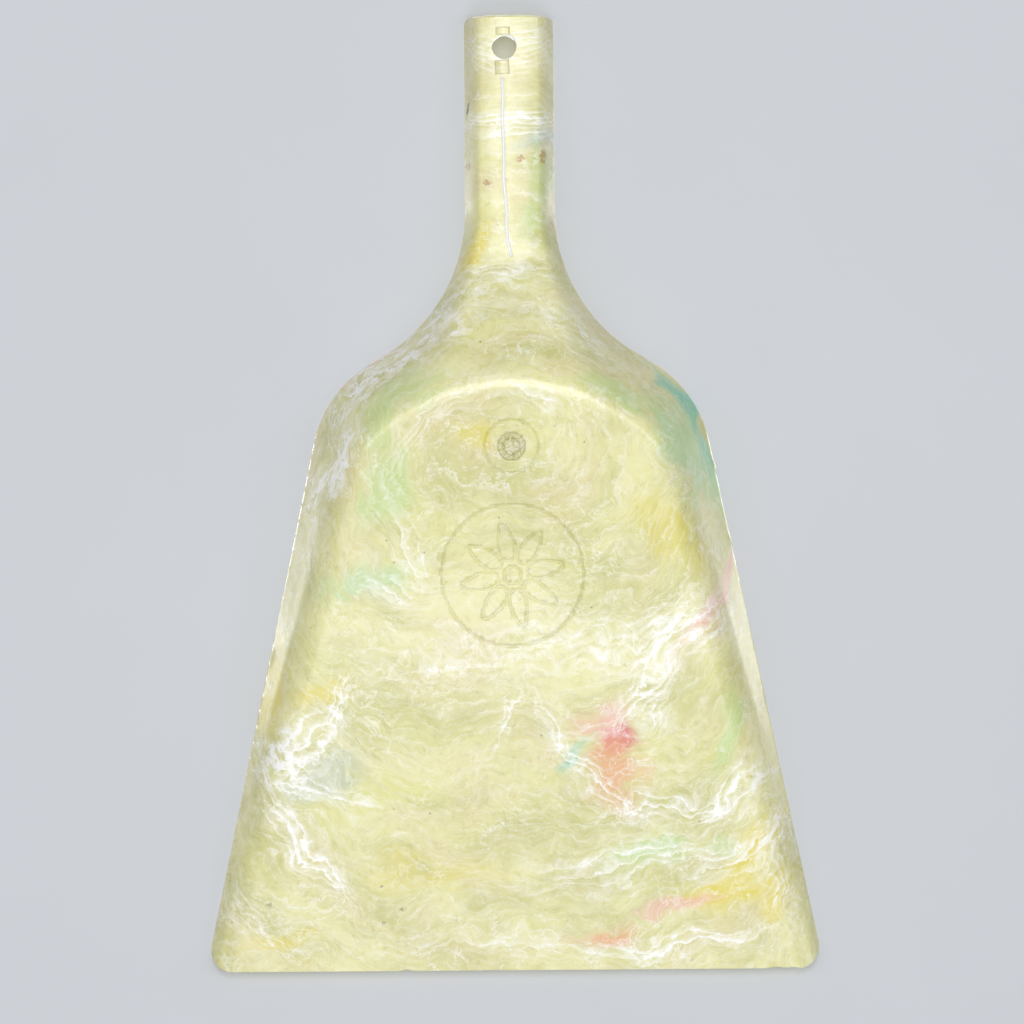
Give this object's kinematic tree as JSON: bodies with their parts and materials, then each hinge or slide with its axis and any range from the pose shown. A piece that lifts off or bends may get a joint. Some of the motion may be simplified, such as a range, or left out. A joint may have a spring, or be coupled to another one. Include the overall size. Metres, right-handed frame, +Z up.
{
  "type": "dustpan",
  "caption": "Shovel-shaped moulded plastic dustpan: wide thin-lipped mouth, low flared sides, arched back, hollow channel handle with a hanging hole.",
  "frame": {"origin": "centre of the length and width, on the plane the flat underside stands on", "axes": "+Z up with the pan standing ready for use, +Y from the mouth to the handle's end, X across the mouth"},
  "size_m": [0.23, 0.3594, 0.0535],
  "materials": {
    "marbled_plastic": "glossy, slightly translucent, pale yellow-green marbled with white, green, yellow and pink"
  },
  "bodies": {
    "root": {"dustpan": "marbled_plastic"}
  },
  "joints": []
}
